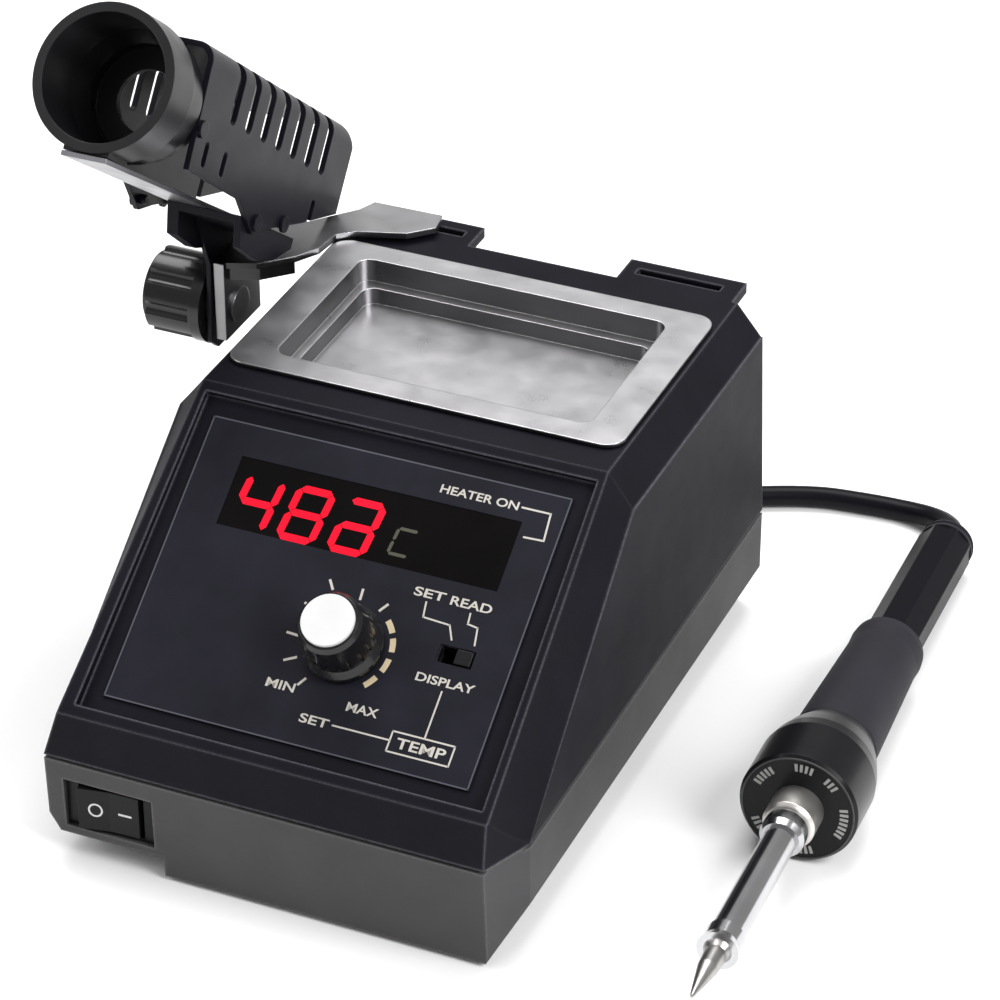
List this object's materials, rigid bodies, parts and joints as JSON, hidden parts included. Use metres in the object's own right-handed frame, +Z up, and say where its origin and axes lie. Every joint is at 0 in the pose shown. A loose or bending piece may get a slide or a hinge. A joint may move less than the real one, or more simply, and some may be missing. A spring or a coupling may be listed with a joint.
{
  "type": "soldering iron station",
  "caption": "Temperature-controlled soldering station with sloping control panel, sponge tray, tilting iron holder and a corded iron lying beside it.",
  "frame": {"origin": "on the table under the middle of the case", "axes": "+Z up, -Y towards the control panel, +X to the right seen from the front"},
  "size_m": [0.208, 0.268, 0.1816],
  "materials": {
    "base_plastic": "fine textured",
    "case_plastic": "fine textured",
    "rubber": "matte",
    "screw_steel": "satin",
    "label": "satin printed",
    "window": "glossy smoked",
    "board": "solder mask",
    "led": "red display",
    "lamp": "clear red",
    "pot_metal": "satin",
    "switch_black": "semi gloss",
    "core_steel": "varnished",
    "copper": "varnished copper",
    "aluminium": "satin",
    "fuse_glass": "clear",
    "knob_black": "glossy",
    "cap_white": "satin",
    "tray_steel": "pressed, worn",
    "zinc": "bright zinc plated",
    "chrome": "polished",
    "guard_black": "semi gloss black",
    "tip_steel": "tinned",
    "grip_rubber": "matte",
    "handle_plastic": "semi gloss",
    "cord": "glossy sheath",
    "tie": "plain"
  },
  "bodies": {
    "station": {"base_pan": "base_plastic", "upper_housing": "case_plastic", "rubber_feet": "rubber", "case_screws": "screw_steel", "panel_label": "label", "display_window": "window", "display_board": "board", "led_digits": "led", "heater_lamp": "lamp", "pot_body": "pot_metal", "display_switch_body": "switch_black", "power_switch_body": "switch_black", "transformer_core": "core_steel", "transformer_winding": "copper", "control_board": "board", "board_heatsink": "aluminium", "mains_fuse": "fuse_glass", "mains_inlet": "switch_black", "cord_gland": "rubber", "station_cord": "cord", "iron_cord": "cord", "cord_coil": "cord", "coil_tie": "tie"},
    "set_knob_body": {"set_knob": "knob_black", "knob_cap": "cap_white", "pot_shaft": "pot_metal"},
    "slider_body": {"display_switch_slider": "switch_black"},
    "rocker_body": {"power_rocker": "switch_black"},
    "tray_body": {"sponge_tray": "tray_steel"},
    "arm_body": {"arm_plate": "zinc", "clamp_bolt": "zinc"},
    "clamp_knob_body": {"clamp_knob": "knob_black", "clamp_washer": "zinc"},
    "holder_body": {"guard": "guard_black", "holder_cup": "guard_black", "support_strip": "chrome", "tilt_bracket": "guard_black", "holder_rivets": "guard_black"},
    "iron_body": {"heater_tube": "chrome", "heater_element": "core_steel", "soldering_tip": "tip_steel", "tip_nut": "chrome", "retaining_nut": "chrome", "barrel_collar": "zinc", "heat_flange": "knob_black", "grip_sleeve": "grip_rubber", "iron_handle": "handle_plastic", "handle_end": "grip_rubber"}
  },
  "joints": [
    {"name": "set_knob_turn", "type": "hinge", "parent": "station", "child": "set_knob_body", "pos_m": [0.0056, -0.05211, 0.05751], "axis": [0, -0.5703, 0.8214], "range_deg": [-90, 180]},
    {"name": "display_switch_slide", "type": "slide", "parent": "station", "child": "slider_body", "axis": [1, 0, 0], "range_m": [-0.004, 0]},
    {"name": "power_rocker_tilt", "type": "hinge", "parent": "station", "child": "rocker_body", "pos_m": [-0.04215, -0.077, 0.0153], "axis": [0, 0, 1], "range_deg": [-12, 0]},
    {"name": "tray_lift", "type": "slide", "parent": "station", "child": "tray_body", "axis": [0, 0, 1], "range_m": [0, 0.06]},
    {"name": "arm_lift", "type": "slide", "parent": "station", "child": "arm_body", "axis": [0, 0, 1], "range_m": [0, 0.05]},
    {"name": "holder_tilt", "type": "hinge", "parent": "arm_body", "child": "holder_body", "pos_m": [-0.071, 0.045, 0.078], "axis": [1, 0, 0], "range_deg": [0, 35]},
    {"name": "clamp_knob_turn", "type": "hinge", "parent": "arm_body", "child": "clamp_knob_body", "pos_m": [-0.084, 0.045, 0.078], "axis": [1, 0, 0], "range_deg": [-180, 180]},
    {"name": "iron_lift", "type": "slide", "parent": "station", "child": "iron_body", "axis": [0, 0, 1], "range_m": [0, 0.12]}
  ]
}
